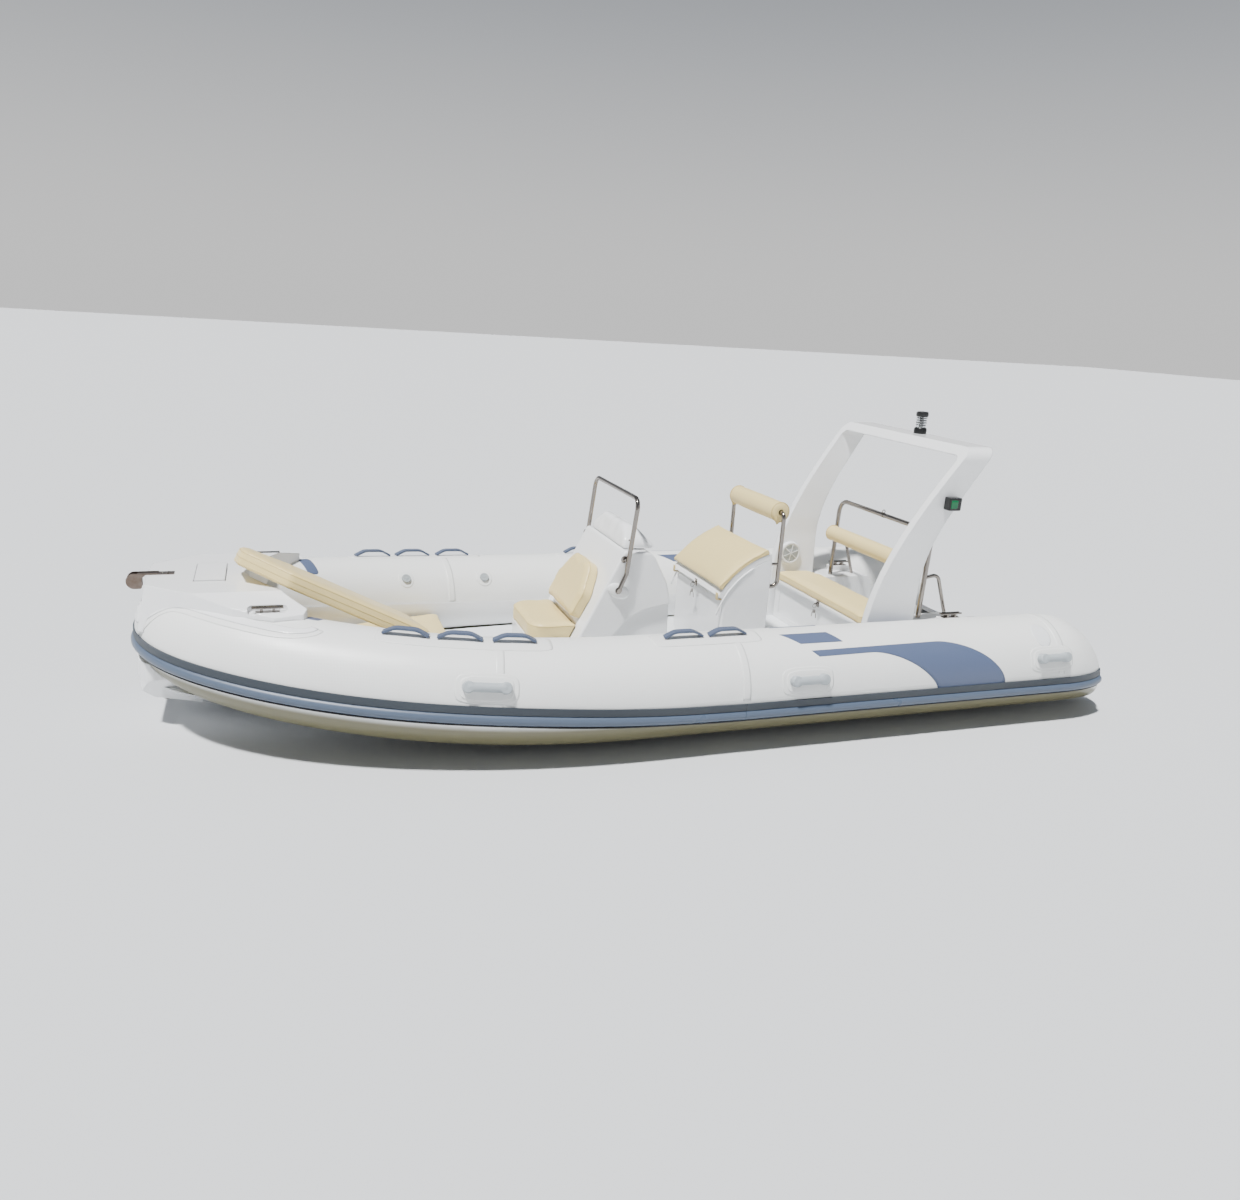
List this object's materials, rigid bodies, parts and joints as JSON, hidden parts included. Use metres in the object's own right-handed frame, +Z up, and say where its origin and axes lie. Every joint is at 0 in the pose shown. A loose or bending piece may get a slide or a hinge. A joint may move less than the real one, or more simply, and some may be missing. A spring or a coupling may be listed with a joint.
{
  "type": "rigid inflatable motorboat",
  "caption": "Rigid inflatable motorboat with console, helm seat, stern bench, cushions and rear arch; opening lids, steering wheel and bow roller move.",
  "frame": {"origin": "on the centreline at the waterline, between the tapered stern ends of the air collar", "axes": "+X to the bow, +Y to port, +Z up"},
  "size_m": [5.972, 2.5758, 2.1318],
  "materials": {
    "gelcoat": "glossy",
    "tube_fabric": "satin",
    "rub_rubber": "satin",
    "grip_plastic": "matte",
    "stainless": "polished",
    "black_plastic": "satin",
    "seat_vinyl": "satin"
  },
  "bodies": {
    "boat": {"hull": "gelcoat", "transom": "gelcoat", "cockpit_sole": "gelcoat", "side_liner": "gelcoat", "engine_well": "gelcoat", "quarter_boxes": "gelcoat", "collar_port": "tube_fabric", "collar_starboard": "tube_fabric", "collar_bow": "tube_fabric", "rub_band": "rub_rubber", "rub_bead": "rub_rubber", "bow_deck": "gelcoat", "bow_roller_bracket": "stainless", "bow_cleats": "stainless", "stern_cleats": "stainless", "tow_eye": "stainless", "bow_platform": "gelcoat", "bow_cushion_aft": "seat_vinyl", "bow_cushion_forward": "seat_vinyl", "bow_loose_cushion": "seat_vinyl", "console": "gelcoat", "dash_cowl": "gelcoat", "console_rail": "stainless", "front_seat_base": "gelcoat", "front_seat_cushion": "seat_vinyl", "front_seat_backrest": "seat_vinyl", "helm_shaft": "stainless", "throttle_control": "black_plastic", "helm_seat_base": "gelcoat", "helm_backrest_frame": "stainless", "helm_backrest_bolster": "seat_vinyl", "bench_base": "gelcoat", "stern_hoop": "stainless", "bench_backrest_bolster": "seat_vinyl", "arch": "gelcoat", "side_lights": "black_plastic", "top_light": "black_plastic", "arch_speakers": "grip_plastic", "carry_handles": "rub_rubber", "grab_handles": "grip_plastic", "inflation_valves": "grip_plastic"},
    "locker_lid": {"anchor_locker_lid": "gelcoat"},
    "roller": {"bow_roller_wheel": "black_plastic"},
    "helm_wheel": {"steering_wheel": "black_plastic"},
    "seat_lid": {"helm_seat_lid": "gelcoat", "helm_seat_cushion": "seat_vinyl"},
    "bench_seat": {"bench_lid": "gelcoat", "bench_cushion": "seat_vinyl"}
  },
  "joints": [
    {"name": "anchor_lid_hinge", "type": "hinge", "parent": "boat", "child": "locker_lid", "pos_m": [5.45, 0, 0.826], "axis": [0, 1, 0], "range_deg": [0, 95]},
    {"name": "bow_roller_spin", "type": "hinge", "parent": "boat", "child": "roller", "pos_m": [5.761, 0, 0.785], "axis": [0, 1, 0], "continuous": true},
    {"name": "steering_turn", "type": "hinge", "parent": "boat", "child": "helm_wheel", "pos_m": [2.69, 0, 0.7], "axis": [-0.9165, 0, 0.4], "range_deg": [-540, 540]},
    {"name": "helm_seat_hinge", "type": "hinge", "parent": "boat", "child": "seat_lid", "pos_m": [2.036, 0, 0.912], "axis": [0, -1, 0], "range_deg": [0, 50]},
    {"name": "bench_hinge", "type": "hinge", "parent": "boat", "child": "bench_seat", "pos_m": [1.125, 0, 0.481], "axis": [0, -1, 0], "range_deg": [0, 60]}
  ]
}
